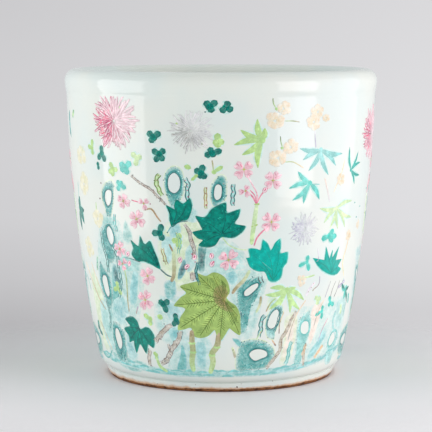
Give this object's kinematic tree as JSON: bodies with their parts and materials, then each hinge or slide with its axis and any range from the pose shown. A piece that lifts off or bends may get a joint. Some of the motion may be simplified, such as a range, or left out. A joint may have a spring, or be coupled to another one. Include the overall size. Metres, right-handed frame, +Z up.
{
  "type": "jardiniere",
  "caption": "Large porcelain planter with a bowed, upward-widening wall, a thick inward-rolled lip, a turned foot ring and a drain hole in its floor.",
  "frame": {"origin": "on the upright axis, in the plane that the foot stands on", "axes": "+Z up along the axis of turning; -Y towards the side that the picture shows; +X to its right"},
  "size_m": [0.3968, 0.3968, 0.3886],
  "materials": {
    "glazed_porcelain": "gloss",
    "bare_and_glazed_foot": "satin"
  },
  "bodies": {
    "root": {"foot_ring": "bare_and_glazed_foot", "base_dish": "glazed_porcelain", "lower_wall": "glazed_porcelain", "upper_wall": "glazed_porcelain", "rolled_rim": "glazed_porcelain"}
  },
  "joints": []
}
